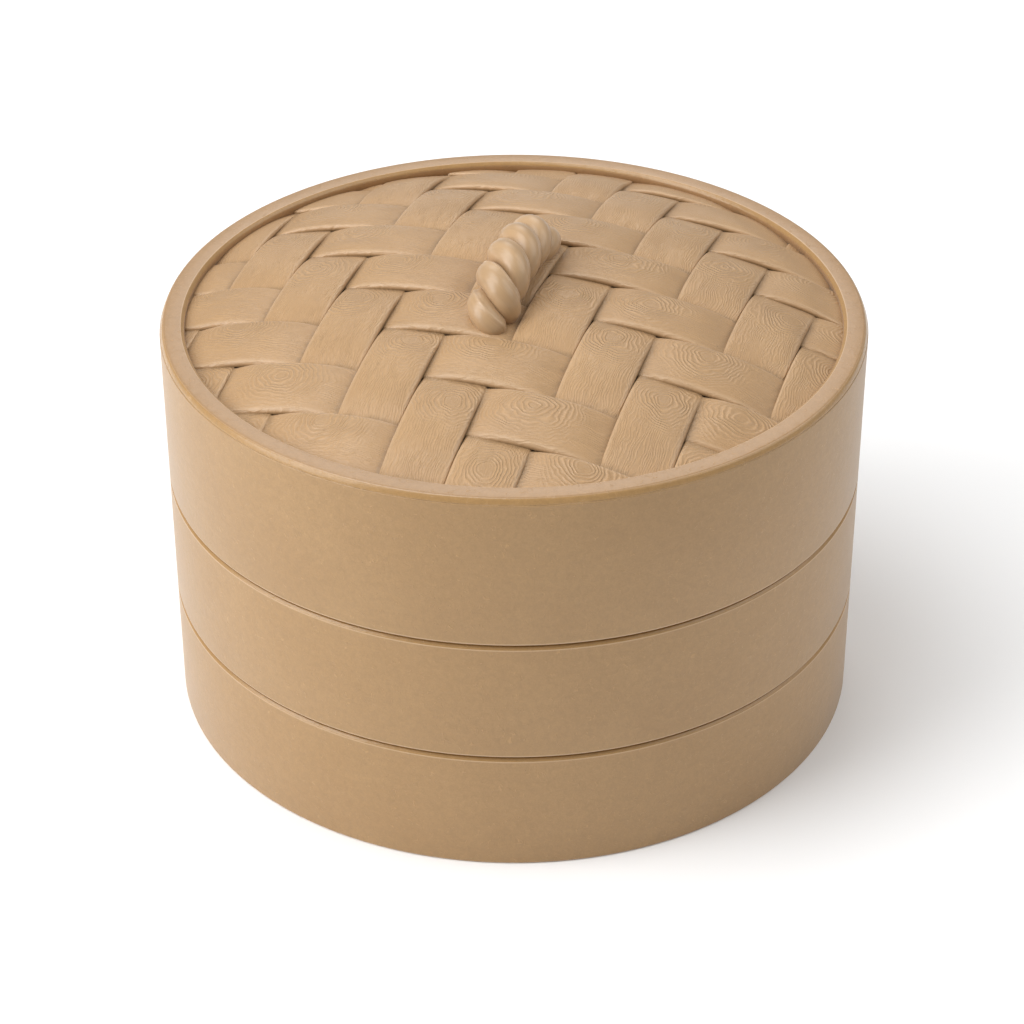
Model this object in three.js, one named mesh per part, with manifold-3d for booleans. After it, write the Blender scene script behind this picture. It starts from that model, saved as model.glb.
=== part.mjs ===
// Bamboo steamer: two stacked tiers under a domed lid woven from flat bamboo strips.
// Millimetres, +Z up. The origin is the centre of the ring that the bottom tier stands on.
// A tier is an outer hoop, an inner hoop that stands proud of it and enters the piece above, a floor
// hoop, two ribs and a floor of loose slats. The lid is the same two hoops with the weave clamped under
// a rim hoop.
import * as THREE from 'three';
import { mergeVertices } from 'three/addons/utils/BufferGeometryUtils.js';
import Module from 'manifold-3d';

const wasm = await Module();
wasm.setup();

// ---- hoops ----
const OUTER_RADIUS = 127;
const OUTER_WALL = 3.6;
const INNER_WALL = 3.8;
const NEST_CLEARANCE = 0.4; // radial, between an outer hoop and the inner hoop inside it
const FACE_GAP = 0.3; // between two pieces that rest on each other
const TIER_HEIGHT = 47;
const TIER_COUNT = 2;
const LID_HEIGHT = 58;
const SPIGOT_HEIGHT = 6; // how far an inner hoop stands above its own outer hoop
const SPIGOT_HEADROOM = 0.6;
const EDGE_ROUND = 0.9;
const AROUND = 48; // flats round a full hoop
const ARC_STEPS = 2; // flats round a rounded edge

// ---- tier floors ----
const FLOOR_HOOP_HEIGHT = 5.6;
const SLAT_THICKNESS = 3;
const SLAT_COUNT = 10;
const SLAT_GAP = 3.6;
const RIB_WIDTH = 9;
const RIB_HEIGHT = 4.4;
const RIB_SPACING = 112;
const NOTCH_CLEARANCE = 0.35;

// ---- lid ----
const RIM_WIDTH = 8.9;
const RIM_CAP = 2; // height of the rim hoop that shows above the lid's outer hoop
const RIM_ROUND = 1;
const WEAVE_DROP = 5.4; // from the rim's top face down to the middle of the weave at the rim
const DOME_RISE = 18;
const WEAVE_TURN = THREE.MathUtils.degToRad(-17.5);
const STRIP_THICKNESS = 1.5;
const STRIP_GAP = 2; // between two strips that lie side by side
const WARP_COUNT = 11; // laid across the lid's full width
const WARP_OFFSET = 0.4; // from the centre of the lid to the middle of the warps
const WEFT_COUNT = 10;
const WEFT_OFFSET = 5;
const WEFT_MARGIN = 5.7; // the wefts are laid across this much less of the lid at each side
const STRIP_END_CLEARANCE = 0.7; // from a strip's end to the outer hoop
const WEAVE_CLEARANCE = 0.7; // above and below the weave, where the hoops clamp it

// ---- handle ----
const HANDLE_SPAN = 52;
const HANDLE_RISE = 11; // from the top of the dome's weave to the middle of the arch
const HANDLE_OFFSET = -7; // along the warp, from the centre of the lid
const HANDLE_SIDE = 2.6; // across the warp
const STRAND_RADIUS = 4.6;
const TAIL_RADIUS = 2.5; // the strands are pared down where they pass through the weave
const STRAND_GAP = 0.3;
const TWIST_TURNS = 2.45;
const TWIST_START = THREE.MathUtils.degToRad(108);
const STRAND_SIDES = 8;
const STRAND_STEPS = 32;
const TAIL_LENGTH = 6; // below the brace
const TAIL_HOLE_CLEARANCE = 0.4;
const BRACE_WIDTH = 17;
const BRACE_THICKNESS = 4;
const PEG_RADIUS = 1;
const PEG_HOLE_CLEARANCE = 0.3;
const PEG_LENGTH = 16;
const PEG_DROP = 1; // from the brace down to the peg

// ---- places that follow from the sizes ----
const OUTER_HOOP_BORE = OUTER_RADIUS - OUTER_WALL;
const INNER_HOOP_RADIUS = OUTER_HOOP_BORE - NEST_CLEARANCE;
const INNER_HOOP_BORE = INNER_HOOP_RADIUS - INNER_WALL;
const RIM_BORE = OUTER_RADIUS - RIM_WIDTH;
const LID_BASE = TIER_HEIGHT * TIER_COUNT;
const RIM_TOP = LID_BASE + LID_HEIGHT;
const WEAVE_RISE = STRIP_THICKNESS + FACE_GAP; // height between an upper and a lower strip's middles
const WEAVE_HALF = (WEAVE_RISE + STRIP_THICKNESS) / 2;
const STRIP_END_RADIUS = OUTER_HOOP_BORE - STRIP_END_CLEARANCE;
const SOCKET_HEIGHT = SPIGOT_HEIGHT + SPIGOT_HEADROOM;

// Height of the middle of the weave at a distance from the lid's axis.
const domeHeight = (x, y) =>
  RIM_TOP - WEAVE_DROP + DOME_RISE * (1 - (x * x + y * y) / (RIM_BORE * RIM_BORE));
const BRACE_TOP_DROP = WEAVE_HALF + WEAVE_CLEARANCE;
const DOME_TOP = domeHeight(0, 0);

const colours = {
  band: new THREE.MeshStandardMaterial({ color: 0xb8956c, roughness: 0.62, metalness: 0 }),
  rim: new THREE.MeshStandardMaterial({ color: 0xbd9668, roughness: 0.5, metalness: 0 }),
  strip: new THREE.MeshStandardMaterial({ color: 0xc9a67d, roughness: 0.6, metalness: 0 }),
  slat: new THREE.MeshStandardMaterial({ color: 0xc4a074, roughness: 0.65, metalness: 0 }),
  handle: new THREE.MeshStandardMaterial({ color: 0xc6a177, roughness: 0.48, metalness: 0 }),
};

// ---- helpers ----
function solidOf(geometry) {
  const bare = geometry.clone();
  bare.deleteAttribute('normal');
  bare.deleteAttribute('uv');
  const merged = mergeVertices(bare, 1e-4);
  return new wasm.Manifold(new wasm.Mesh({
    numProp: 3,
    vertProperties: new Float32Array(merged.attributes.position.array),
    triVerts: new Uint32Array(merged.index.array),
  }));
}

function geometryOf(solid) {
  const { vertProperties, triVerts } = solid.getMesh();
  const geometry = new THREE.BufferGeometry();
  geometry.setAttribute('position', new THREE.BufferAttribute(vertProperties, 3));
  geometry.setIndex(new THREE.BufferAttribute(triVerts, 1));
  return geometry;
}

function cut(geometry, ...tools) {
  return geometryOf(tools.reduce((left, tool) => left.subtract(solidOf(tool)), solidOf(geometry)));
}

function piece(name, geometry, material, parent) {
  const mesh = new THREE.Mesh(geometry, material);
  mesh.name = name;
  parent.add(mesh);
  return mesh;
}

// A hoop spun from a profile of [radius, height] points that goes up on the inside and down on the outside.
function spin(profile) {
  const points = profile.toReversed().map(([r, z]) => new THREE.Vector2(r, z));
  return new THREE.LatheGeometry([...points, points[0].clone()], AROUND).rotateX(Math.PI / 2);
}

// The points of a rounded corner: centre, radius, and the two angles it runs between, in degrees.
function corner(r, z, radius, from, to) {
  return Array.from({ length: ARC_STEPS + 1 }, (_, i) => {
    const angle = THREE.MathUtils.degToRad(from + (to - from) * i / ARC_STEPS);
    return [r + radius * Math.cos(angle), z + radius * Math.sin(angle)];
  });
}

function box(sizeX, sizeY, sizeZ, x, y, z) {
  return new THREE.BoxGeometry(sizeX, sizeY, sizeZ).translate(x, y, z);
}

// ---- hoops ----
// An outer hoop with both outer edges rounded, standing between two heights.
function outerHoop(bottom, top) {
  const inside = OUTER_RADIUS - EDGE_ROUND;
  return spin([
    [OUTER_HOOP_BORE, bottom],
    [OUTER_HOOP_BORE, top],
    ...corner(inside, top - EDGE_ROUND, EDGE_ROUND, 90, 0),
    ...corner(inside, bottom + EDGE_ROUND, EDGE_ROUND, 0, -90),
  ]);
}

function plainHoop(bore, radius, bottom, top) {
  return spin([[bore, bottom], [bore, top], [radius, top], [radius, bottom]]);
}

// An inner hoop whose top edge is eased on the outside, so that the piece above finds its way on.
function innerHoop(bottom, top) {
  const ease = EDGE_ROUND;
  return spin([
    [INNER_HOOP_BORE, bottom],
    [INNER_HOOP_BORE, top],
    [INNER_HOOP_RADIUS - ease, top],
    [INNER_HOOP_RADIUS, top - ease],
    [INNER_HOOP_RADIUS, bottom],
  ]);
}

// ---- a tier ----
// A slat's outline: parallel sides, ends on the circle of the floor hoop.
function slatOutline(low, high, radius) {
  const shape = new THREE.Shape();
  const turn = y => Math.asin(THREE.MathUtils.clamp(y / radius, -1, 1));
  shape.absarc(0, 0, radius, turn(low), turn(high), false);
  shape.absarc(0, 0, radius, Math.PI - turn(high), Math.PI - turn(low), false);
  return shape;
}

function buildTier(number, parent) {
  const tier = new THREE.Group();
  tier.position.z = (number - 1) * TIER_HEIGHT;
  parent.add(tier);
  const name = `tier${number}`;
  const floorHoopTop = SOCKET_HEIGHT + FLOOR_HOOP_HEIGHT;
  const slatBottom = floorHoopTop + FACE_GAP;
  const slatTop = slatBottom + SLAT_THICKNESS;
  const ribTop = floorHoopTop;

  piece(`${name}_outer_hoop`, outerHoop(0, TIER_HEIGHT - FACE_GAP), colours.band, tier);
  piece(`${name}_inner_hoop`, innerHoop(slatTop + FACE_GAP, TIER_HEIGHT + SPIGOT_HEIGHT), colours.band,
    tier);

  const notchWidth = RIB_WIDTH + 2 * NOTCH_CLEARANCE;
  const notchDepth = RIB_HEIGHT + NOTCH_CLEARANCE;
  const notches = [-1, 1].map(side =>
    box(notchWidth, 2 * OUTER_RADIUS, notchDepth + FACE_GAP, side * RIB_SPACING / 2, 0,
      ribTop + (FACE_GAP - notchDepth) / 2));
  const floorHoop = plainHoop(INNER_HOOP_BORE, INNER_HOOP_RADIUS, SOCKET_HEIGHT, floorHoopTop);
  piece(`${name}_floor_hoop`, cut(floorHoop, ...notches), colours.band, tier);

  const reach = INNER_HOOP_RADIUS - NOTCH_CLEARANCE;
  const ribReach = Math.sqrt(reach ** 2 - ((RIB_SPACING + RIB_WIDTH) / 2) ** 2);
  for (const [label, side] of [['left', -1], ['right', 1]]) {
    const rib = box(RIB_WIDTH, 2 * ribReach, RIB_HEIGHT,
      side * RIB_SPACING / 2, 0, ribTop - RIB_HEIGHT / 2);
    piece(`${name}_rib_${label}`, rib, colours.slat, tier);
  }

  const slatPitch = (2 * INNER_HOOP_BORE + SLAT_GAP) / SLAT_COUNT;
  for (let i = 0; i < SLAT_COUNT; i++) {
    const low = -INNER_HOOP_BORE + i * slatPitch;
    const outline = slatOutline(low, low + slatPitch - SLAT_GAP, reach);
    const slat = new THREE.ExtrudeGeometry(outline,
      { depth: SLAT_THICKNESS, bevelEnabled: false, curveSegments: 3 });
    piece(`${name}_slat_${i + 1}`, slat.translate(0, 0, slatBottom), colours.slat, tier);
  }
}

// ---- the lid's weave ----
// The weave is a two-over, two-under twill. Warps and wefts are counted from 1 at one edge of the lid.
const weftIsOver = (warp, weft) => (warp + weft + 3) % 4 < 2;
const warpPitch = 2 * OUTER_RADIUS / WARP_COUNT;
const weftPitch = 2 * (OUTER_RADIUS - WEFT_MARGIN) / WEFT_COUNT;
const warpMiddle = warp => WARP_OFFSET + (warp - (WARP_COUNT + 1) / 2) * warpPitch;
const weftMiddle = weft => WEFT_OFFSET + (weft - (WEFT_COUNT + 1) / 2) * weftPitch;
const warpHalf = (warpPitch - STRIP_GAP) / 2;
const weftHalf = (weftPitch - STRIP_GAP) / 2;

// A flat strip bent over the dome and past the strips it crosses. crossings lists, in order along the
// strip, where each crossed strip starts and ends, and whether this strip lies over it.
function wovenStrip(middle, half, crossings, alongX) {
  const stations = crossings.flatMap(({ from, to, over }) => [[from, over], [to, over]]);
  const last = stations.length - 1;
  const strip = new THREE.BoxGeometry(last, 2, 1, last, 1, 1);
  const place = strip.attributes.position;
  for (let i = 0; i < place.count; i++) {
    const [along, over] = stations[Math.round(place.getX(i) + last / 2)];
    const across = middle + (alongX ? 1 : -1) * Math.sign(place.getY(i)) * half;
    const height = domeHeight(along, across) + (over ? 1 : -1) * WEAVE_RISE / 2
      + Math.sign(place.getZ(i)) * STRIP_THICKNESS / 2;
    if (alongX) place.setXYZ(i, along, across, height);
    else place.setXYZ(i, across, along, height);
  }
  return strip;
}

// One crossing more at each end takes the strip past the lid's edge.
function crossingsOf(count, middleOf, half, isOver) {
  return Array.from({ length: count + 2 }, (_, i) =>
    ({ from: middleOf(i) - half, to: middleOf(i) + half, over: isOver(i) }));
}

// Every strip is trimmed to one circle.
function buildWeave(parent, tailHoles) {
  const edge = new THREE.CylinderGeometry(STRIP_END_RADIUS, STRIP_END_RADIUS, 4 * DOME_RISE, AROUND)
    .rotateX(Math.PI / 2).translate(0, 0, DOME_TOP);
  const trim = strip => cut(geometryOf(solidOf(strip).intersect(solidOf(edge))), ...tailHoles);
  for (let warp = 1; warp <= WARP_COUNT; warp++) {
    const crossings = crossingsOf(WEFT_COUNT, weftMiddle, weftHalf, weft => !weftIsOver(warp, weft));
    const strip = wovenStrip(warpMiddle(warp), warpHalf, crossings, false);
    piece(`warp_strip_${warp}`, trim(strip), colours.strip, parent);
  }
  for (let weft = 1; weft <= WEFT_COUNT; weft++) {
    const crossings = crossingsOf(WARP_COUNT, warpMiddle, warpHalf, warp => weftIsOver(warp, weft));
    const strip = wovenStrip(weftMiddle(weft), weftHalf, crossings, true);
    piece(`weft_strip_${weft}`, trim(strip), colours.strip, parent);
  }
}

// ---- the handle: two strands twisted into an arch that stands along the middle warp ----
const FRONT_FOOT = HANDLE_OFFSET - HANDLE_SPAN / 2;
const BACK_FOOT = HANDLE_OFFSET + HANDLE_SPAN / 2;
const FOOT_SINK = 5; // the arch is built this far into the weave, then cut off level with it
const footHeight = y => domeHeight(HANDLE_SIDE, y) + WEAVE_HALF + FACE_GAP;
const braceBottom = y => domeHeight(HANDLE_SIDE, y) - BRACE_TOP_DROP - BRACE_THICKNESS;
const feet = [
  { label: 'front', y: FRONT_FOOT, twist: -TWIST_START },
  { label: 'back', y: BACK_FOOT, twist: TWIST_START + 2 * Math.PI * TWIST_TURNS },
];

const archLine = (() => {
  const half = HANDLE_SPAN / 2;
  const top = DOME_TOP + WEAVE_HALF + HANDLE_RISE;
  const shoulders = [[0.955, 0.6], [0.77, 0.3], [0.42, 0.075]]; // shares of the half span and of the rise
  const side = sign => [
    [sign * half, footHeight(HANDLE_OFFSET + sign * half) - FOOT_SINK],
    [sign * half, footHeight(HANDLE_OFFSET + sign * half)],
    ...shoulders.map(([out, down]) => [sign * half * out, top - HANDLE_RISE * down]),
  ];
  const points = [...side(-1), [0, top], ...side(1).toReversed()];
  const places = points.map(([along, z]) => new THREE.Vector3(HANDLE_SIDE, HANDLE_OFFSET + along, z));
  return new THREE.CatmullRomCurve3(places, false, 'centripetal');
})();
const SINK_SHARE = FOOT_SINK / archLine.getLength();

// A strand's middle line, half a turn away from the other strand's.
function strandPoint(t, phase) {
  const along = archLine.getTangentAt(t);
  const sideways = new THREE.Vector3(1, 0, 0);
  const outward = new THREE.Vector3().crossVectors(sideways, along);
  const angle = phase + TWIST_START + 2 * Math.PI * TWIST_TURNS * (t - SINK_SHARE) / (1 - 2 * SINK_SHARE);
  return archLine.getPointAt(t)
    .addScaledVector(sideways, (STRAND_RADIUS + STRAND_GAP / 2) * Math.cos(angle))
    .addScaledVector(outward, (STRAND_RADIUS + STRAND_GAP / 2) * Math.sin(angle));
}

// A round bar bent along a strand's line.
function strandBar(phase, radius) {
  const bar = new THREE.CylinderGeometry(1, 1, 1, STRAND_SIDES, STRAND_STEPS);
  const place = bar.attributes.position;
  const step = 1e-3;
  for (let i = 0; i < place.count; i++) {
    const t = THREE.MathUtils.clamp(place.getY(i) + 0.5, 0, 1);
    const before = strandPoint(Math.max(t - step, 0), phase);
    const along = strandPoint(Math.min(t + step, 1), phase).sub(before).normalize();
    const sideways = new THREE.Vector3(1, 0, 0).addScaledVector(along, -along.x).normalize();
    const outward = new THREE.Vector3().crossVectors(sideways, along);
    const point = strandPoint(t, phase)
      .addScaledVector(sideways, place.getX(i) * radius)
      .addScaledVector(outward, place.getZ(i) * radius);
    place.setXYZ(i, ...point);
  }
  return bar;
}

function upright(radius, bottom, top, x, y) {
  return new THREE.CylinderGeometry(radius, radius, top - bottom, 12)
    .rotateX(Math.PI / 2).translate(x, y, (bottom + top) / 2);
}

function peg({ y, twist }, radius) {
  return new THREE.CylinderGeometry(radius, radius, PEG_LENGTH, 8).rotateZ(Math.PI / 2 + twist)
    .translate(HANDLE_SIDE, y, braceBottom(y) - PEG_DROP - PEG_RADIUS);
}

// The arch cut off level with the weave at each foot, with a thinner tail running on down. spare is
// added all round.
function strand(phase, spare) {
  let solid = solidOf(strandBar(phase, STRAND_RADIUS + spare));
  for (const foot of feet) {
    const reach = 2 * (2 * STRAND_RADIUS + STRAND_GAP);
    const slope = Math.atan2(footHeight(foot.y + 1) - footHeight(foot.y - 1), 2);
    const below = box(2 * reach, reach * 1.3, 3 * FOOT_SINK, 0, 0, -1.5 * FOOT_SINK).rotateX(slope)
      .translate(HANDLE_SIDE, foot.y, footHeight(foot.y) - spare);
    const away = (TAIL_RADIUS + STRAND_GAP / 2) * Math.cos(phase);
    const tail = upright(TAIL_RADIUS + spare, braceBottom(foot.y) - TAIL_LENGTH, footHeight(foot.y) + 1,
      HANDLE_SIDE + away * Math.cos(foot.twist), foot.y + away * Math.sin(foot.twist));
    solid = solid.subtract(solidOf(below)).add(solidOf(tail));
  }
  return solid;
}

function buildHandle(parent) {
  const pegHoles = feet.map(foot => peg(foot, PEG_RADIUS + PEG_HOLE_CLEARANCE));
  const strandA = geometryOf(strand(0, 0));
  const pared = strand(Math.PI, 0).subtract(strand(0, STRAND_GAP)).decompose(); // with the crumbs
  const strandB = geometryOf(pared.reduce((most, part) => (part.volume() > most.volume() ? part : most)));
  piece('handle_strand_a', cut(strandA, ...pegHoles), colours.handle, parent);
  piece('handle_strand_b', cut(strandB, ...pegHoles), colours.handle, parent);
  for (const foot of feet) piece(`handle_peg_${foot.label}`, peg(foot, PEG_RADIUS), colours.handle, parent);
}

// The bar under the weave that the tails pass through, bent to the dome, with its ends in the inner hoop.
function brace(reach) {
  const bar = new THREE.BoxGeometry(BRACE_WIDTH, 2 * reach, 1, 1, 12, 1);
  const place = bar.attributes.position;
  for (let i = 0; i < place.count; i++) {
    const bottom = braceBottom(place.getY(i));
    const height = place.getZ(i) > 0 ? bottom + BRACE_THICKNESS : bottom;
    place.setXYZ(i, place.getX(i) + HANDLE_SIDE, place.getY(i), height);
  }
  return bar;
}

// ---- the lid ----
function rimHoop() {
  const inner = RIM_BORE + RIM_ROUND;
  const outer = OUTER_RADIUS - RIM_ROUND;
  const shoulder = RIM_TOP - RIM_CAP;
  const under = r => domeHeight(r, 0) + WEAVE_HALF + WEAVE_CLEARANCE;
  return spin([
    [RIM_BORE, under(RIM_BORE)],
    ...corner(inner, RIM_TOP - RIM_ROUND, RIM_ROUND, 180, 90),
    ...corner(outer, RIM_TOP - RIM_ROUND, RIM_ROUND, 90, 0),
    [OUTER_RADIUS, shoulder],
    [INNER_HOOP_RADIUS, shoulder],
    [INNER_HOOP_RADIUS, under(INNER_HOOP_RADIUS)],
  ]);
}

function lidInnerHoop() {
  const bottom = LID_BASE + SOCKET_HEIGHT;
  const under = r => domeHeight(r, 0) - WEAVE_HALF - WEAVE_CLEARANCE;
  const hoop = spin([
    [INNER_HOOP_BORE, bottom],
    [INNER_HOOP_BORE, under(INNER_HOOP_BORE)],
    [INNER_HOOP_RADIUS, under(INNER_HOOP_RADIUS)],
    [INNER_HOOP_RADIUS, bottom],
  ]);
  const notchTop = domeHeight(INNER_HOOP_BORE, 0);
  const notchBottom = braceBottom(INNER_HOOP_RADIUS) - NOTCH_CLEARANCE;
  const notch = box(BRACE_WIDTH + 2 * NOTCH_CLEARANCE, 2 * OUTER_RADIUS, notchTop - notchBottom,
    HANDLE_SIDE, 0, (notchTop + notchBottom) / 2).rotateZ(WEAVE_TURN);
  return cut(hoop, notch);
}

function buildLid(parent) {
  const lid = new THREE.Group();
  parent.add(lid);
  piece('lid_outer_hoop', outerHoop(LID_BASE, RIM_TOP - RIM_CAP - FACE_GAP), colours.band, lid);
  piece('lid_rim_hoop', rimHoop(), colours.rim, lid);
  piece('lid_inner_hoop', lidInnerHoop(), colours.band, lid);

  const woven = new THREE.Group();
  woven.rotation.z = WEAVE_TURN;
  lid.add(woven);
  const holeRadius = 2 * TAIL_RADIUS + STRAND_GAP / 2 + TAIL_HOLE_CLEARANCE;
  const tailHoles = feet.map(({ y }) =>
    upright(holeRadius, braceBottom(y) - TAIL_LENGTH, DOME_TOP + HANDLE_RISE, HANDLE_SIDE, y));
  buildWeave(woven, tailHoles);
  const reach = INNER_HOOP_RADIUS - NOTCH_CLEARANCE;
  const braceReach = Math.sqrt(reach ** 2 - (BRACE_WIDTH / 2 + HANDLE_SIDE) ** 2);
  piece('lid_brace', cut(brace(braceReach), ...tailHoles), colours.slat, woven);
  buildHandle(woven);
}

const steamer = new THREE.Group();
for (let number = 1; number <= TIER_COUNT; number++) buildTier(number, steamer);
buildLid(steamer);

export default steamer;
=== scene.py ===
"""A two-tier bamboo steamer: bent hoops, slatted floors, and a domed lid of wide woven strips
with a twisted handle."""

import math
import random

import bmesh
import bpy
from mathutils import Matrix, Vector, geometry


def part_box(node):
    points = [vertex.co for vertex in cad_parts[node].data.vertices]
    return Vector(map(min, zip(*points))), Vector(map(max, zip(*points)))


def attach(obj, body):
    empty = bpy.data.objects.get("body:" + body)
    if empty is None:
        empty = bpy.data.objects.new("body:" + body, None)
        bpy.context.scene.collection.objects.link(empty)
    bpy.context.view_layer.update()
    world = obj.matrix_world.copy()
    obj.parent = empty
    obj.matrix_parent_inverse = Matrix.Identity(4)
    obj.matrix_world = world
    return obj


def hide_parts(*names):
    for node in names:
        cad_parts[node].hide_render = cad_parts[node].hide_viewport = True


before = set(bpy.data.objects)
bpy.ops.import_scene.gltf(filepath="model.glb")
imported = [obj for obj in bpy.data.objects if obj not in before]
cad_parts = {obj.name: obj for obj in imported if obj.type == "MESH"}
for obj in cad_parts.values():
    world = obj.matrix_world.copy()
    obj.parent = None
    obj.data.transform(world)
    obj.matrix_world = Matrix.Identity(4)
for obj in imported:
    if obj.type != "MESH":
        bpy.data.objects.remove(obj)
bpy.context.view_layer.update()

MM = 0.001
SAME_PLACE = 1e-6

# The hoops: heights and radii come from the frame's own hoops.
RIM_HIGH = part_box("lid_rim_hoop")[1]
BAND_RADIUS = RIM_HIGH.x
RIM_TOP = RIM_HIGH.z
BAND_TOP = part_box("lid_outer_hoop")[1].z
SPIGOT_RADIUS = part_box("tier1_inner_hoop")[1].x
OUTER_WALL = 3.6 * MM
INNER_WALL = 3.8 * MM
BAND_BORE = BAND_RADIUS - OUTER_WALL
SPIGOT_BORE = SPIGOT_RADIUS - INNER_WALL
HOOP_STEPS = 240

# The lid's rim: a ring with a slope along both edges, seated in the band and set back from its face.
RIM_WIDTH = 8.9 * MM
RIM_BORE = BAND_RADIUS - RIM_WIDTH
RIM_SLOPE = 1.15 * MM
RIM_SEAT = 3 * MM
RIM_SETBACK = 0.25 * MM
RIM_FOOT = 0.3 * MM

# The turned shoulder at the top of each tier.
SHOULDER_DEPTH = 1.5 * MM
SHOULDER_STEP = 0.7 * MM
SHOULDER_SLOPE = 0.9 * MM

# How far each edge of a hoop is rounded over.
BORE_ROUND = 0.4 * MM
GROUND_ROUND = 1.0 * MM
FOOT_ROUND = 0.5 * MM
CREST_ROUND = 0.35 * MM
LEDGE_ROUND = 0.15 * MM
SHOULDER_ROUND = 0.2 * MM
LID_CREST_ROUND = 0.45 * MM
SPIGOT_ROUND = 0.9 * MM
RIM_INNER_ROUND = 0.5 * MM
RIM_OUTER_ROUND = 0.9 * MM
RIM_FOOT_ROUND = 0.3 * MM
HOOP_ROUND_STEPS = 4

# The weave, laid out as in the frame: each strip goes over two and under two.
REPEAT = 4
DOME_RISE = 18 * MM
WEAVE_DROP = 5.4 * MM
WEAVE_TURN = math.radians(-17.5)
WARP_COUNT = 11
WARP_OFFSET = 0.4 * MM
WARP_PITCH = 2 * BAND_RADIUS / WARP_COUNT
WEFT_COUNT = 10
WEFT_OFFSET = 5 * MM
WEFT_MARGIN = 5.7 * MM
WEFT_PITCH = 2 * (BAND_RADIUS - WEFT_MARGIN) / WEFT_COUNT

# One strip: its section, how it bends over and under, and how its ends and its edge at the rim lie.
STRIP_END_RADIUS = BAND_BORE - 0.7 * MM
NARROWEST_END = 4 * MM
STRIP_THICKNESS = 2.4 * MM
STRIP_CROWN = 1.0 * MM
CROWN_WHEN_UNDER = 0.25
EDGE_ROUND = 0.9 * MM
EDGE_ROUND_STEPS = 5
STRIP_GAP = 0.05 * MM
STRIP_LENGTH_STEP = 1.5 * MM
FEWEST_LENGTH_STEPS = 24
STRIP_WIDTH_STEPS = 13
RISE_OVER = 2.0 * MM
DIP_UNDER = 1.0 * MM
WAVE_SHARPNESS = 1.4
WAVE_BIAS = 0.03
CALM_REACH = 16 * MM
CALM_SHARE = 0.5

# Where a knot lies on a stretch that is on top, in pitches: along from its middle, the spread of
# that, and the range across.
WARP_KNOTS = (0.55, (-0.2, 0.15), (-0.25, 0.25))
WEFT_KNOTS = (-0.2, (-0.2, 0.2), (0.1, 0.48))
STRETCHES = range(-4, 5)

# The handle, laid out as in the frame.
HANDLE_SPAN = 52 * MM
HANDLE_RISE = 11 * MM
HANDLE_OFFSET = -7 * MM
HANDLE_SIDE = 2.6 * MM
HANDLE_ABOVE_DOME = 1.65 * MM
TAIL_LENGTH = 16 * MM
TAIL_POINTS = 20
ARCH_POINTS = 60
FOOT_STEEPNESS = 0.62
TOP_FLATNESS = 0.58

# Its two strands, thinner in their tails, each with a fine raised lip.
STRAND_RADIUS = 4.75 * MM
STRAND_AWAY = 4.75 * MM
STRAND_WIDENING = 0.05
STRAND_SIDES = 64
STRAND_RINGS = 240
END_RINGS = 3
TAIL_RADIUS = 2.5 * MM
TAIL_AWAY = 2.65 * MM
SWELL_FROM = -3.5 * MM
SWELL_TO = 0.5 * MM
TWIST_TURNS = 2.45
TWIST_START = math.radians(108)
FOOT_TWIST = math.radians(-43)
FOOT_TWIST_RISE = 4 * MM
FOOT_TWIST_SHARE = 0.16
LIP_HEIGHT = 0.5 * MM
LIP_ANGLE = math.radians(52)
LIP_SPREAD = math.radians(6.5)
DIRECTION_STEP = 0.2 * MM

# The pieces inside: how far their edges are eased, and which edges count as sharp.
SLAT_COUNT = 10
SLAT_EASE = 0.5 * MM
RIB_EASE = 0.6 * MM
SHARP_ANGLE = math.radians(50)
FLAT_ANGLE = math.radians(1)

TIERS = (("tier1", "lower_tier", GROUND_ROUND), ("tier2", "upper_tier", FOOT_ROUND))


# ---- finishes ----
# The pale colour of painted highlights along the edges of hoops and strips and along the handle's lip.
HIGHLIGHT_PALE = (0.60, 0.42, 0.26, 1)
HOOP_TONE = (0.428, 0.258, 0.112, 1)
HOOP_SHADE = (0.40, 0.237, 0.10, 1)

# Painted highlight lines along the hoops' edges: their soft half width, and where they lie by an edge.
HIGHLIGHT_REACH = 0.5 * MM
HIGHLIGHT_CORE = 0.15 * MM
HIGHLIGHT_SHIFT = 0.1 * MM
HIGHLIGHT_ABOVE_GROUND = 0.3 * MM
HIGHLIGHT_ABOVE_FOOT = 0.35 * MM

# Growth rings round a knot in split bamboo, and the wandering veins between the knots.
RING_TURNS = 2 * math.pi / (1.4 * MM)
RING_WAVER = 9 * MM
RINGS_UNEVEN = 16 * MM
RINGS_END = 31 * MM
RINGS_FULL = 18 * MM
HEART_EDGE = 5.5 * MM
HEART_OUT = 7.5 * MM
VEIN_TURNS = 2 * math.pi / (0.9 * MM)
VEIN_WAVER = 7 * MM

# Small knots on the handle, one to each cell of a pattern.
KNOT_SCALE = 48
KNOT_TURNS = 95.0
KNOT_END = 0.15
KNOT_FULL = 0.10


def toned(tone, share):
    """A tone made darker by a share under 1, or paler by one over 1."""
    return tuple(min(channel * share, 1.0) for channel in tone[:3]) + (1,)


def new_finish(name, roughness, specular=0.35, sheen=0.0):
    finish = bpy.data.materials.new(name)
    finish.use_nodes = True
    surface = finish.node_tree.nodes["Principled BSDF"]
    surface.inputs["Roughness"].default_value = roughness
    surface.inputs["Specular IOR Level"].default_value = specular
    surface.inputs["Sheen Weight"].default_value = sheen
    surface.inputs["Sheen Roughness"].default_value = 0.4
    return finish, surface


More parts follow.
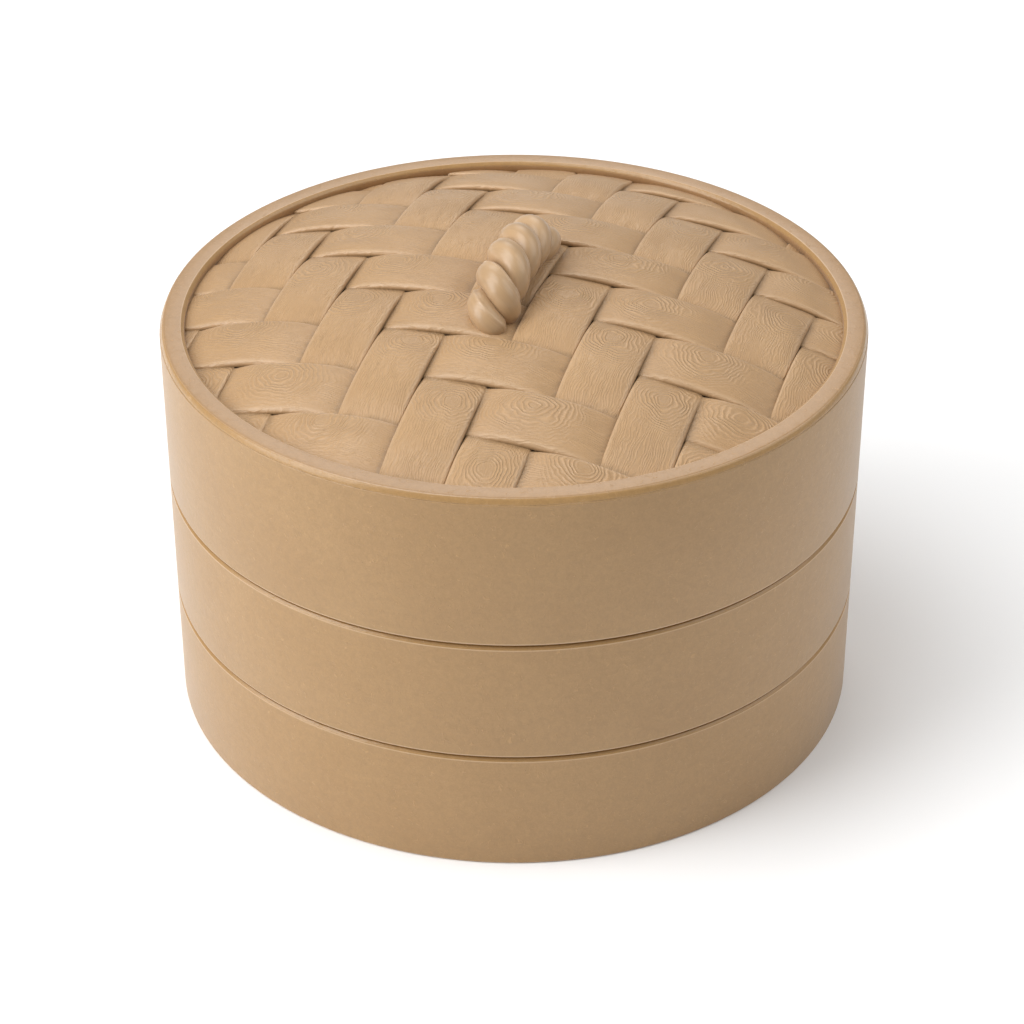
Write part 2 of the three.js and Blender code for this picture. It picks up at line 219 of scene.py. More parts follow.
class Pattern:
    """Nodes of one finish, joined by name so that a recipe reads from top to bottom."""

    def __init__(self, finish):
        self.tree = finish.node_tree

    def node(self, kind, **settings):
        made = self.tree.nodes.new(kind)
        for key, value in settings.items():
            setattr(made, key, value)
        return made

    def feed(self, socket, value):
        if isinstance(value, bpy.types.NodeSocket):
            self.tree.links.new(value, socket)
        else:
            socket.default_value = value

    def place(self, source, scale, shift=(0, 0, 0)):
        mapping = self.node("ShaderNodeMapping")
        self.feed(mapping.inputs["Vector"], source)
        mapping.inputs["Scale"].default_value = scale
        mapping.inputs["Location"].default_value = shift
        return mapping.outputs["Vector"]

    def noise(self, where, scale=1.0, detail=2.0, roughness=0.5, distortion=0.0):
        made = self.node("ShaderNodeTexNoise")
        self.feed(made.inputs["Vector"], where)
        made.inputs["Scale"].default_value = scale
        made.inputs["Detail"].default_value = detail
        made.inputs["Roughness"].default_value = roughness
        made.inputs["Distortion"].default_value = distortion
        return made.outputs["Fac"]

    def attribute(self, name):
        return self.node("ShaderNodeAttribute", attribute_name=name).outputs["Fac"]

    def uv(self, name):
        return self.node("ShaderNodeUVMap", uv_map=name).outputs["UV"]

    def cells(self, where, scale):
        made = self.node("ShaderNodeTexVoronoi", feature="F1")
        self.feed(made.inputs["Vector"], where)
        made.inputs["Scale"].default_value = scale
        return made.outputs

    def part(self, vector, axis):
        split = self.node("ShaderNodeSeparateXYZ")
        self.feed(split.inputs["Vector"], vector)
        return split.outputs[axis]

    def length(self, vector):
        made = self.node("ShaderNodeVectorMath", operation="LENGTH")
        self.feed(made.inputs[0], vector)
        return made.outputs["Value"]

    def math(self, operation, a, b=0.5, c=0.5):
        made = self.node("ShaderNodeMath", operation=operation)
        for socket, value in zip(made.inputs, (a, b, c)):
            self.feed(socket, value)
        return made.outputs["Value"]

    def ripples(self, value, turns):
        """Even ripples between 0 and 1."""
        wave_share = self.math("SINE", self.math("MULTIPLY", value, turns))
        return self.math("MULTIPLY_ADD", wave_share, 0.5, 0.5)

    def span(self, value, low, high, to_high=1.0):
        """A soft step from 0 at low to to_high at high."""
        made = self.node("ShaderNodeMapRange", interpolation_type="SMOOTHSTEP")
        self.feed(made.inputs["Value"], value)
        for key, number in (("From Min", low), ("From Max", high), ("To Min", 0.0), ("To Max", to_high)):
            made.inputs[key].default_value = number
        return made.outputs["Result"]

    def mix(self, share, a, b):
        made = self.node("ShaderNodeMix", data_type="RGBA")
        self.feed(made.inputs["Factor"], share)
        self.feed(made.inputs[6], a)
        self.feed(made.inputs[7], b)
        return made.outputs[2]

    def stain_or_paint_light(self, colour, marks, strength, tone):
        """The colour, taken towards a tone where a mask is high: used for real marks and for painted
        shade and highlights.
        """
        return self.mix(self.math("MULTIPLY", marks, strength), colour, tone)

    def relief(self, height, depth, under=None):
        bump = self.node("ShaderNodeBump")
        bump.inputs["Strength"].default_value = 1.0
        bump.inputs["Distance"].default_value = depth
        self.feed(bump.inputs["Height"], height)
        if under is not None:
            self.feed(bump.inputs["Normal"], under)
        return bump.outputs["Normal"]


def pinholes(pattern, where, scale, size):
    """A few scattered pits: 1 inside a pit and 0 elsewhere."""
    cells = pattern.cells(where, scale)
    near = pattern.span(cells["Distance"], size, size * 0.4)
    some = pattern.math("GREATER_THAN", cells["Color"], 0.6)
    return pattern.math("MULTIPLY", near, some)


def thin_curls(pattern, where, scale, width):
    """Hair-thin curling marks, broken into short lengths."""
    field = pattern.noise(where, scale, detail=1, distortion=1.2)
    line = pattern.span(pattern.math("ABSOLUTE", pattern.math("SUBTRACT", field, 0.5)), width, 0)
    broken = pattern.span(pattern.noise(where, scale * 1.9, detail=1), 0.56, 0.62)
    return pattern.math("MULTIPLY", line, broken)


def hoop_bamboo(name, tone, shade, highlight_heights=(), highlight_radii=(), roughness=0.40):
    """Smooth bent bamboo: an even mottled tan with hair-thin marks, and painted highlight lines along its
    outer edges.
    """
    finish, surface = new_finish(name, roughness, specular=0.5, sheen=0.16)
    pattern = Pattern(finish)
    where = pattern.node("ShaderNodeTexCoord").outputs["Object"]
    clouds = pattern.noise(where, scale=22, detail=3, roughness=0.6)
    streaks = pattern.noise(pattern.place(where, (40, 40, 700)), distortion=0.3)
    mottling = pattern.noise(where, scale=420, detail=3, roughness=0.6, distortion=0.8)
    grain = pattern.noise(where, scale=1500, roughness=0.6)
    curls = thin_curls(pattern, where, scale=230, width=0.02)
    pits = pinholes(pattern, where, scale=110, size=0.03)
    uneven = pattern.math("MULTIPLY_ADD", streaks, 0.25, pattern.math("MULTIPLY", clouds, 0.75))
    colour = pattern.mix(pattern.span(uneven, 0.32, 0.68), shade, tone)
    colour = pattern.mix(pattern.span(mottling, 0.3, 0.75, to_high=0.24), colour, toned(tone, 0.6))
    colour = pattern.mix(pattern.span(grain, 0.3, 0.7, to_high=0.22), colour, toned(tone, 0.6))
    colour = pattern.stain_or_paint_light(colour, curls, 0.3, toned(tone, 1.4))
    colour = pattern.stain_or_paint_light(colour, pits, 0.45, toned(tone, 0.5))
    height = pattern.part(where, "Z")
    radius = pattern.length(pattern.place(where, (1, 1, 0)))
    # Painted highlight lines at the given heights and radii, where the edges would catch the light.
    for place, lines in ((height, highlight_heights), (radius, highlight_radii)):
        for line in lines:
            off = pattern.math("ABSOLUTE", pattern.math("SUBTRACT", place, line))
            colour = pattern.stain_or_paint_light(colour, pattern.span(off, HIGHLIGHT_REACH, HIGHLIGHT_CORE), 0.6, HIGHLIGHT_PALE)
    pattern.feed(surface.inputs["Base Color"], colour)
    dents = pattern.noise(where, scale=260, detail=4, roughness=0.65, distortion=0.8)
    normal = pattern.relief(dents, depth=0.14 * MM)
    pattern.feed(surface.inputs["Normal"], pattern.relief(curls, 0.06 * MM, under=normal))
    return finish


def strip_bamboo(name, tone, shade):
    """Split bamboo with raised growth rings round its knots and fine wandering fibres elsewhere."""
    finish, surface = new_finish(name, roughness=0.36, specular=0.5, sheen=0.1)
    pattern = Pattern(finish)
    where = pattern.uv("along_strip")
    away = pattern.length(pattern.place(pattern.uv("from_knot"), (0.88, 1, 1)))
    bend = pattern.noise(pattern.place(where, (75, 95, 1)))
    away = pattern.math("MULTIPLY_ADD", bend, RING_WAVER, away)
    patchy = pattern.noise(pattern.place(where, (55, 90, 1), shift=(3.1, 7.7, 0)), detail=1)
    reach = pattern.math("MULTIPLY_ADD", patchy, RINGS_UNEVEN, away)
    near_knot = pattern.span(reach, RINGS_END, RINGS_FULL)
    rings = pattern.math("POWER", pattern.ripples(away, RING_TURNS), 1.6)
    rings = pattern.math("MULTIPLY", rings, near_knot)
    rings = pattern.math("MULTIPLY", rings, pattern.span(away, HEART_EDGE, HEART_OUT))
    wander = pattern.noise(pattern.place(where, (70, 130, 1), shift=(5.3, 1.9, 0)), roughness=0.55)
    course = pattern.math("MULTIPLY_ADD", wander, VEIN_WAVER, pattern.part(where, "Y"))
    veins = pattern.math("POWER", pattern.ripples(course, VEIN_TURNS), 2.0)
    veins = pattern.math("MULTIPLY", veins, pattern.span(patchy, 0.3, 0.5))
    veins = pattern.math("MULTIPLY", veins, pattern.math("SUBTRACT", 1.0, near_knot))
    fibres = pattern.noise(pattern.place(where, (260, 1300, 1)), detail=3, roughness=0.65, distortion=1.6)
    ridges = pattern.math("MULTIPLY_ADD", veins, 0.45, rings)
    clouds = pattern.noise(pattern.place(where, (40, 60, 1)))
    pits = pinholes(pattern, where, scale=75, size=0.028)
    colour = pattern.mix(pattern.span(clouds, 0.3, 0.7), shade, tone)
    colour = pattern.mix(pattern.span(fibres, 0.3, 0.7, to_high=0.26), colour, toned(tone, 0.65))
    colour = pattern.stain_or_paint_light(colour, near_knot, 0.17, toned(tone, 0.65))
    colour = pattern.stain_or_paint_light(colour, ridges, 0.42, toned(tone, 1.24))
    colour = pattern.stain_or_paint_light(colour, pits, 0.7, toned(tone, 0.4))
    # Painted shade down the strips' sides and where they go under their neighbours.
    colour = pattern.stain_or_paint_light(colour, pattern.attribute("crease_shade"), 0.6, toned(tone, 0.42))
    # A painted highlight along the strips' upper edges where they lie on top.
    colour = pattern.stain_or_paint_light(colour, pattern.attribute("painted_highlight"), 0.4, HIGHLIGHT_PALE)
    pattern.feed(surface.inputs["Base Color"], colour)
    normal = pattern.relief(ridges, depth=0.2 * MM)
    pattern.feed(surface.inputs["Normal"], pattern.relief(fibres, 0.2 * MM, under=normal))
    return finish


def handle_bamboo(name, tone, shade):
    """Polished twisted bamboo: long soft streaks along the strand and a few small knots."""
    finish, surface = new_finish(name, roughness=0.34, specular=0.6, sheen=0.15)
    pattern = Pattern(finish)
    where = pattern.uv("along_strip")
    streaks = pattern.noise(pattern.place(where, (90, 420, 1)), detail=3, roughness=0.55, distortion=0.6)
    clouds = pattern.noise(pattern.place(where, (50, 90, 1)))
    away = pattern.cells(where, KNOT_SCALE)["Distance"]
    rings = pattern.ripples(away, KNOT_TURNS)
    rings = pattern.math("MULTIPLY", rings, pattern.span(away, KNOT_END, KNOT_FULL))
    colour = pattern.mix(pattern.span(clouds, 0.3, 0.7), shade, tone)
    colour = pattern.mix(pattern.span(streaks, 0.3, 0.72, to_high=0.32), colour, toned(tone, 0.62))
    colour = pattern.stain_or_paint_light(colour, rings, 0.6, toned(tone, 0.5))
    # A painted highlight along each strand's lip.
    colour = pattern.stain_or_paint_light(colour, pattern.attribute("painted_highlight"), 0.45, HIGHLIGHT_PALE)
    pattern.feed(surface.inputs["Base Color"], colour)
    normal = pattern.relief(streaks, depth=0.12 * MM)
    pattern.feed(surface.inputs["Normal"], pattern.relief(rings, -0.16 * MM, under=normal))
    return finish


TIER_TOPS = [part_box(f"{tier}_outer_hoop")[1].z for tier, _, _ in TIERS]
# Where the painted highlight lines lie: the shoulders' crests, the foot of each hoop above, the base and
# the rim's two edges.
HIGHLIGHT_CRESTS = [top - SHOULDER_STEP - SHOULDER_SLOPE - HIGHLIGHT_SHIFT for top in TIER_TOPS]
HIGHLIGHT_FEET = [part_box(node)[0].z + HIGHLIGHT_ABOVE_FOOT for node in ("tier2_outer_hoop", "lid_outer_hoop")]
HIGHLIGHT_RIM = (BAND_RADIUS - RIM_SLOPE + HIGHLIGHT_SHIFT, RIM_BORE + RIM_SLOPE)
HOOP_FINISH = hoop_bamboo("bent_bamboo", HOOP_TONE, HOOP_SHADE,
                          highlight_heights=[*HIGHLIGHT_CRESTS, HIGHLIGHT_ABOVE_GROUND, *HIGHLIGHT_FEET])
INNER_FINISH = hoop_bamboo("inner_bamboo", HOOP_TONE, HOOP_SHADE)
EDGE_FINISH = hoop_bamboo("cut_edge_bamboo", (0.44, 0.26, 0.105, 1), (0.41, 0.238, 0.092, 1),
                          roughness=0.26)
RIM_FINISH = hoop_bamboo("rim_bamboo", (0.42, 0.252, 0.122, 1), (0.395, 0.235, 0.111, 1),
                         highlight_radii=HIGHLIGHT_RIM, roughness=0.28)
STRIP_FINISH = strip_bamboo("woven_bamboo", (0.475, 0.292, 0.143, 1), (0.438, 0.266, 0.129, 1))
SLAT_FINISH = strip_bamboo("slat_bamboo", (0.46, 0.295, 0.16, 1), (0.42, 0.268, 0.142, 1))
HANDLE_FINISH = handle_bamboo("handle_bamboo", (0.52, 0.34, 0.185, 1), (0.475, 0.303, 0.158, 1))


# ---- making pieces ----
def finish_piece(bm, name, node, body, slot, *finishes):
    """Turns a bmesh into the piece that stands for one CAD node."""
    bmesh.ops.recalc_face_normals(bm, faces=bm.faces)
    for face in bm.faces:
        face.smooth = True
    mesh = bpy.data.meshes.new(name)
    bm.to_mesh(mesh)
    bm.free()
    for finish in finishes:
        mesh.materials.append(finish)
    made = bpy.data.objects.new(name, mesh)
    bpy.context.collection.objects.link(made)
    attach(made, body)
    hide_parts(node)
    return made


def round_over(bm, edges, size, steps):
    bmesh.ops.bevel(bm, geom=edges, offset=size, segments=steps, profile=0.5, affect="EDGES", material=-1)


def spun_hoop(profile):
    """A hoop spun from a closed profile of corners. Each corner has its radius, its height, how far it
    is rounded over, and whether the face from it to the next corner is a cut edge."""
    bm = bmesh.new()
    corners = [bm.verts.new((radius, 0, height)) for radius, height, _, _ in profile]
    for corner, after in zip(corners, corners[1:] + corners[:1]):
        bm.edges.new((corner, after))
    bmesh.ops.spin(bm, geom=bm.verts[:] + bm.edges[:], cent=(0, 0, 0), axis=(0, 0, 1),
                   angle=2 * math.pi, steps=HOOP_STEPS, use_merge=True)
    bmesh.ops.recalc_face_normals(bm, faces=bm.faces)

    def lies_at(vert, corner):
        radius, height = corner[:2]
        return abs(vert.co.z - height) < SAME_PLACE and abs(vert.co.xy.length - radius) < SAME_PLACE

    for corner, after in zip(profile, profile[1:] + profile[:1]):
        if corner[3]:
            for face in bm.faces:
                if all(lies_at(vert, corner) or lies_at(vert, after) for vert in face.verts):
                    face.material_index = 1
    for corner in profile:
        if corner[2]:
            circle = [edge for edge in bm.edges if all(lies_at(vert, corner) for vert in edge.verts)]
            round_over(bm, circle, corner[2], HOOP_ROUND_STEPS)
    return bm


def tier_band(node, body, foot_round):
    """An outer hoop with a turned shoulder that leaves a thin shadow under the hoop above."""
    low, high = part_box(node)
    shoulder = BAND_RADIUS - SHOULDER_DEPTH
    ledge = high.z - SHOULDER_STEP
    bm = spun_hoop([
        (BAND_BORE, low.z, BORE_ROUND, False),
        (BAND_BORE, high.z, BORE_ROUND, True),
        (shoulder, high.z, SHOULDER_ROUND, True),
        (shoulder, ledge, 0, True),
        (BAND_RADIUS - SHOULDER_SLOPE, ledge, LEDGE_ROUND, True),
        (BAND_RADIUS, ledge - SHOULDER_SLOPE, CREST_ROUND, False),
        (BAND_RADIUS, low.z, foot_round, False)])
    return finish_piece(bm, node + "_bent", node, body, "band", HOOP_FINISH, EDGE_FINISH)


def lid_band():
    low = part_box("lid_outer_hoop")[0].z
    bm = spun_hoop([
        (BAND_BORE, low, BORE_ROUND, False),
        (BAND_BORE, BAND_TOP, 0, False),
        (BAND_RADIUS, BAND_TOP, LID_CREST_ROUND, False),
        (BAND_RADIUS, low, FOOT_ROUND, False)])
    return finish_piece(bm, "lid_outer_hoop_bent", "lid_outer_hoop", "lid", "band", HOOP_FINISH)


def inner_hoop(node, body):
    low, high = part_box(node)
    bm = spun_hoop([
        (SPIGOT_BORE, low.z, BORE_ROUND, False),
        (SPIGOT_BORE, high.z, SPIGOT_ROUND, True),
        (SPIGOT_RADIUS, high.z, SPIGOT_ROUND, False),
        (SPIGOT_RADIUS, low.z, BORE_ROUND, False)])
    return finish_piece(bm, node + "_bent", node, body, "band", INNER_FINISH, EDGE_FINISH)


def rim_hoop():
    """The ring on top of the lid that clamps the ends of the strips."""
    under = BAND_TOP - RIM_SEAT
    face = BAND_RADIUS - RIM_SETBACK
    bm = spun_hoop([
        (RIM_BORE, under, 0, False),
        (RIM_BORE, RIM_TOP - RIM_SLOPE, RIM_INNER_ROUND, True),
        (RIM_BORE + RIM_SLOPE, RIM_TOP, RIM_INNER_ROUND, False),
        (BAND_RADIUS - RIM_SLOPE, RIM_TOP, RIM_OUTER_ROUND, True),
        (face, BAND_TOP + RIM_FOOT, RIM_FOOT_ROUND, True),
        (face, BAND_TOP, 0, False),
        (SPIGOT_RADIUS, BAND_TOP, 0, False),
        (SPIGOT_RADIUS, under, 0, False)])
    return finish_piece(bm, "lid_rim_bent", "lid_rim_hoop", "lid", "rim", RIM_FINISH, EDGE_FINISH)


# ---- the lid's weave ----
def dome_height(x, y):
    return RIM_TOP - WEAVE_DROP + DOME_RISE * (1 - (x * x + y * y) / RIM_BORE ** 2)


def smooth_share(value, low, high):
    share = min(max((value - low) / (high - low), 0.0), 1.0)
    return share * share * (3 - 2 * share)


def wave(along, start, pitch):
    """From -1 under to +1 over; start is where the strip comes up from under a neighbour."""
    phase = math.sin(math.pi * (along - start) / (REPEAT / 2 * pitch)) - WAVE_BIAS
    return math.tanh(WAVE_SHARPNESS * phase) / math.tanh(WAVE_SHARPNESS * (1 - WAVE_BIAS))


def knots_along(start, pitch, warp, chance):
    """One knot's place on each stretch that lies on top."""
    along, along_spread, across_range = WARP_KNOTS if warp else WEFT_KNOTS
    knots = {}
    for stretch in STRETCHES:
        middle = start + pitch * (1 + REPEAT * stretch)
        place = middle + (along + chance.uniform(*along_spread)) * pitch
        knots[stretch] = (place, chance.uniform(*across_range) * pitch)
    return knots


def flat_strip(reach, half):
    """A straight strip round the origin, with its four long edges rounded over."""
    bm = bmesh.new()
    length_steps = max(FEWEST_LENGTH_STEPS, round(2 * reach / STRIP_LENGTH_STEP))
    bmesh.ops.create_grid(bm, x_segments=length_steps, y_segments=STRIP_WIDTH_STEPS, size=1)
    for vert in bm.verts:
        vert.co = (vert.co.x * reach, vert.co.y * half, -STRIP_THICKNESS / 2)
    top = bmesh.ops.extrude_face_region(bm, geom=bm.faces[:])["geom"]
    top = [part for part in top if isinstance(part, bmesh.types.BMVert)]
    bmesh.ops.translate(bm, vec=(0, 0, STRIP_THICKNESS), verts=top)
    bmesh.ops.recalc_face_normals(bm, faces=bm.faces)
    tiny = SAME_PLACE / 10
    long_edges = [edge for edge in bm.edges
                  if all(abs(abs(vert.co.y) - half) < tiny for vert in edge.verts)
                  and abs(edge.verts[0].co.z - edge.verts[1].co.z) < tiny
                  and abs(edge.verts[0].co.x - edge.verts[1].co.x) > tiny]
    round_over(bm, long_edges, EDGE_ROUND, EDGE_ROUND_STEPS)
    return bm


def woven_strip(node, number, middle, pitch_across, pitch, start, warp):
    """One flat strip bent over the dome, up and down past the strips it crosses, with its ends cut to
    the lid's circle."""
    half = pitch_across / 2 - STRIP_GAP
    knots = knots_along(start, pitch, warp, random.Random(number))
    reach = math.sqrt(STRIP_END_RADIUS ** 2 - max(abs(middle) - half, 0) ** 2)
    bm = flat_strip(reach, half)
    limit = math.sqrt(STRIP_END_RADIUS ** 2 - NARROWEST_END ** 2)
    low, high = max(middle - half, -limit), min(middle + half, limit)

    def bent(spot):
        across = low + (spot.y / half + 1) / 2 * (high - low)
        return spot.x / reach * math.sqrt(STRIP_END_RADIUS ** 2 - across ** 2), across

    grain = bm.loops.layers.uv.new("along_strip")
    from_knot = bm.loops.layers.uv.new("from_knot")
    for face in bm.faces:
        stretch = math.floor((bent(face.calc_center_median())[0] - start + pitch) / (REPEAT * pitch))
        for loop in face.loops:
            along, across = bent(loop.vert.co)
            loop[grain].uv = (along + 0.31 * number, across + 0.173 * number)
            loop[from_knot].uv = (along - knots[stretch][0], across - middle - knots[stretch][1])
    crease_shade = bm.verts.layers.float.new("crease_shade")
    painted_highlight = bm.verts.layers.float.new("painted_highlight")
    for vert in bm.verts:
        along, across = bent(vert.co)
        lift = wave(along, start, pitch)
        # Painted shade down its sides and where it goes under, and a painted highlight along its upper
        # edges where it lies on top.
        side = smooth_share(STRIP_THICKNESS / 2 - vert.co.z, 0.6 * MM, 1.4 * MM)
        going_under = 0.3 * smooth_share(-lift, -0.3, 0.1)
        under = 0.85 * smooth_share(-lift, -0.13, -0.01)
        vert[crease_shade] = max(side, going_under, under)
        edge = smooth_share(abs(vert.co.y), half - 1.6 * MM, half - 0.5 * MM)
        vert[painted_highlight] = edge * (1 - side) * smooth_share(lift, 0, 0.6)
        # Bent less near the rim, and crowned less where it is under.
        from_middle = math.hypot(along, across)
        calm = 1 - CALM_SHARE * smooth_share(from_middle, RIM_BORE - CALM_REACH, RIM_BORE)
        rise = lift * (RISE_OVER if lift > 0 else DIP_UNDER) * calm
        crown = STRIP_CROWN * (1 - (vert.co.y / half) ** 4) * calm
        crown *= CROWN_WHEN_UNDER + (1 - CROWN_WHEN_UNDER) * max(lift, 0)
        height = dome_height(along, across) + rise + vert.co.z + (crown if vert.co.z > 0 else 0)
        vert.co = (across, along, height) if warp else (along, across, height)
    if warp:
        bmesh.ops.reverse_faces(bm, faces=bm.faces)
    bmesh.ops.rotate(bm, cent=(0, 0, 0), matrix=Matrix.Rotation(WEAVE_TURN, 3, "Z"), verts=bm.verts)
    return finish_piece(bm, node + "_split", node, "lid", "strip", STRIP_FINISH)


def warp_middle(warp):
    return WARP_OFFSET + (warp - (WARP_COUNT + 1) / 2) * WARP_PITCH


def weft_middle(weft):
    return WEFT_OFFSET + (weft - (WEFT_COUNT + 1) / 2) * WEFT_PITCH


def weft_is_over(warp, weft):
    return (warp + weft + 3) % REPEAT < REPEAT / 2


def weave():
    for warp in range(1, WARP_COUNT + 1):
        first_over = next(weft for weft in range(1, REPEAT + 1)
                          if not weft_is_over(warp, weft) and weft_is_over(warp, weft - 1))
        start = weft_middle(first_over) - WEFT_PITCH / 2
        woven_strip(f"warp_strip_{warp}", warp, warp_middle(warp), WARP_PITCH, WEFT_PITCH, start, True)
    for weft in range(1, WEFT_COUNT + 1):
        first_over = next(warp for warp in range(1, REPEAT + 1)
                          if weft_is_over(warp, weft) and not weft_is_over(warp - 1, weft))
        start = warp_middle(first_over) - WARP_PITCH / 2
        woven_strip(f"weft_strip_{weft}", WARP_COUNT + weft, weft_middle(weft), WEFT_PITCH, WARP_PITCH,
                    start, False)


# ---- the handle ----
def handle_line():
    """Points along the middle of the twisted arch, from the end of the front tail to the end of the back
    one."""
    front, back = HANDLE_OFFSET - HANDLE_SPAN / 2, HANDLE_OFFSET + HANDLE_SPAN / 2
    top = dome_height(0, 0) + HANDLE_ABOVE_DOME + HANDLE_RISE

    def half_arch(foot):
        floor = dome_height(HANDLE_SIDE, foot) + HANDLE_ABOVE_DOME
        rise = top - floor
        arch = geometry.interpolate_bezier(
            Vector((HANDLE_SIDE, foot, floor)),
            Vector((HANDLE_SIDE, foot, floor + rise * FOOT_STEEPNESS)),
            Vector((HANDLE_SIDE, HANDLE_OFFSET + (foot - HANDLE_OFFSET) * TOP_FLATNESS, top)),
            Vector((HANDLE_SIDE, HANDLE_OFFSET, top)), ARCH_POINTS)
        tail = [Vector((HANDLE_SIDE, foot, floor - TAIL_LENGTH * (1 - i / TAIL_POINTS)))
                for i in range(TAIL_POINTS)]
        return tail + arch

    return half_arch(front) + half_arch(back)[-2::-1]


def along_line(points, lengths, distance):
    """The place and direction at a distance along a line of points."""
    distance = min(max(distance, 0), lengths[-1])
    low, high = 0, len(lengths) - 1
    while high - low > 1:
        middle = (low + high) // 2
        low, high = (middle, high) if lengths[middle] <= distance else (low, middle)
    step = points[high] - points[low]
    share = (distance - lengths[low]) / (lengths[high] - lengths[low])
    return points[low] + step * share, step.normalized()


def twisted_strand(node, number, phase):
    """One strand of the handle: a long round body swept along a path that winds round the arch."""
    points = handle_line()
    lengths = [0.0]
    for point, after in zip(points, points[1:]):
        lengths.append(lengths[-1] + (after - point).length)
    total = lengths[-1]
    arch = total - 2 * TAIL_LENGTH

    def strand_middle(distance):
        place, ahead = along_line(points, lengths, distance)
        sideways = Vector((1, 0, 0))
        outward = sideways.cross(ahead)
        share = min(max((distance - TAIL_LENGTH) / arch, 0), 1)
        above = smooth_share(distance - TAIL_LENGTH, -FOOT_TWIST_RISE, 0)
        angle = phase + TWIST_START + 2 * math.pi * TWIST_TURNS * share
        angle += FOOT_TWIST * above * (1 - smooth_share(share, 0, FOOT_TWIST_SHARE))
        from_foot = min(distance - TAIL_LENGTH, total - TAIL_LENGTH - distance)
        swell = smooth_share(from_foot, SWELL_FROM, SWELL_TO)
        away = TAIL_AWAY + (STRAND_AWAY - TAIL_AWAY) * swell
        radius = TAIL_RADIUS + (STRAND_RADIUS - TAIL_RADIUS) * swell
        outwards = sideways * math.cos(angle) + outward * math.sin(angle)
        return place + outwards * away, radius, outwards

    def share_along(vert):
        return math.asin(min(max(vert.co.z, -1), 1)) / math.pi + 0.5

    bm = bmesh.new()
    bmesh.ops.create_uvsphere(bm, u_segments=STRAND_SIDES, v_segments=STRAND_RINGS, radius=1)
    grain = bm.loops.layers.uv.new("along_strip")
    for face in bm.faces:
        angles = [math.atan2(loop.vert.co.y, loop.vert.co.x) for loop in face.loops]
        wrap = max(angles) - min(angles) > math.pi
        for loop, angle in zip(face.loops, angles):
            turn = angle + 2 * math.pi if wrap and angle < 0 else angle
            loop[grain].uv = (share_along(loop.vert) * total + 0.37 * number, turn * STRAND_RADIUS)
    painted_highlight = bm.verts.layers.float.new("painted_highlight")
    for vert in bm.verts:
        distance = share_along(vert) * total
        middle, radius, outwards = strand_middle(distance)
        ahead = strand_middle(distance + DIRECTION_STEP)[0] - strand_middle(distance - DIRECTION_STEP)[0]
        ahead = ahead.normalized()
        outwards = (outwards - ahead * outwards.dot(ahead)).normalized()
        onwards = ahead.cross(outwards)
        angle = math.atan2(vert.co.y, vert.co.x)
        lip = math.exp(-((angle - LIP_ANGLE) / LIP_SPREAD) ** 2)
        # The lip is also painted pale: a painted highlight along it.
        vert[painted_highlight] = lip
        round_end = min(vert.co.xy.length / math.sin(math.pi * END_RINGS / STRAND_RINGS), 1)
        spread = (radius * (1 + STRAND_WIDENING * math.sin(angle) ** 2) + lip * LIP_HEIGHT) * round_end
        vert.co = middle + (outwards * math.cos(angle) + onwards * math.sin(angle)) * spread
    bmesh.ops.rotate(bm, cent=(0, 0, 0), matrix=Matrix.Rotation(WEAVE_TURN, 3, "Z"), verts=bm.verts)
    return finish_piece(bm, node + "_twisted", node, "lid", "handle", HANDLE_FINISH)


# ---- pieces whose shape comes straight from the frame, with their sharp edges eased ----
def eased_piece(node, body, ease, along):
    """A slat, rib or bar, with its grain running along it. A number made from its name shifts the
    grain, so that no two pieces look alike."""
    bm = bmesh.new()
    bm.from_mesh(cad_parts[node].data)
    bmesh.ops.remove_doubles(bm, verts=bm.verts, dist=SAME_PLACE)
    bmesh.ops.dissolve_limit(bm, angle_limit=FLAT_ANGLE, verts=bm.verts, edges=bm.edges)
    sharp = [edge for edge in bm.edges if edge.is_manifold and edge.calc_face_angle() > SHARP_ANGLE]
    round_over(bm, sharp, ease, 2)
    number = sum(map(ord, node))
    direction = Vector(along).normalized()
    across = Vector((0, 0, 1)).cross(direction)
    grain = bm.loops.layers.uv.new("along_strip")
    from_knot = bm.loops.layers.uv.new("from_knot")
    for face in bm.faces:
        for loop in face.loops:
            spot = (loop.vert.co.dot(direction), loop.vert.co.dot(across) + loop.vert.co.z)
            loop[grain].uv = (spot[0] + 0.07 * number, spot[1])
            # A metre from any knot, so no rings show.
            loop[from_knot].uv = (spot[0] - 0.03 * MM * (number % 17), 1.0)
    return finish_piece(bm, node + "_eased", node, body, "slat", SLAT_FINISH)


lid_band()
inner_hoop("lid_inner_hoop", "lid")
rim_hoop()
weave()
twisted_strand("handle_strand_a", 1, 0)
twisted_strand("handle_strand_b", 2, math.pi)
for tier, body, foot_round in TIERS:
    tier_band(f"{tier}_outer_hoop", body, foot_round)
    inner_hoop(f"{tier}_inner_hoop", body)
    for number in range(1, SLAT_COUNT + 1):
        eased_piece(f"{tier}_slat_{number}", body, SLAT_EASE, (1, 0, 0))
    for side in ("left", "right"):
        eased_piece(f"{tier}_rib_{side}", body, RIB_EASE, (0, 1, 0))
eased_piece("lid_brace", "lid", SLAT_EASE, (-math.sin(WEAVE_TURN), math.cos(WEAVE_TURN), 0))

# The floor hoops and the handle's pegs keep the frame's own shape.
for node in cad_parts.values():
    if not node.hide_render:
        node.data.materials.clear()
        node.data.materials.append(INNER_FINISH)


# ---- the floor, the light and the camera ----
FLOOR_TONE = (0.98, 0.985, 0.99, 1)
FLOOR_HALF_WIDTH = 6
LIGHT_DISTANCE = 2.4
LIGHT_AIM = Vector((0, 0, 0.08))
AIR_LIGHT = 0.26
FILM_WIDTH_MM = 36
LENS_MM = 104.06
CAMERA_AIM = Vector((-0.0008, 0, 0.0650))
CAMERA_DISTANCE = 1.1116
CAMERA_TILT = math.radians(90 - 33.01)
CAMERA_ROLL = math.radians(-0.09)


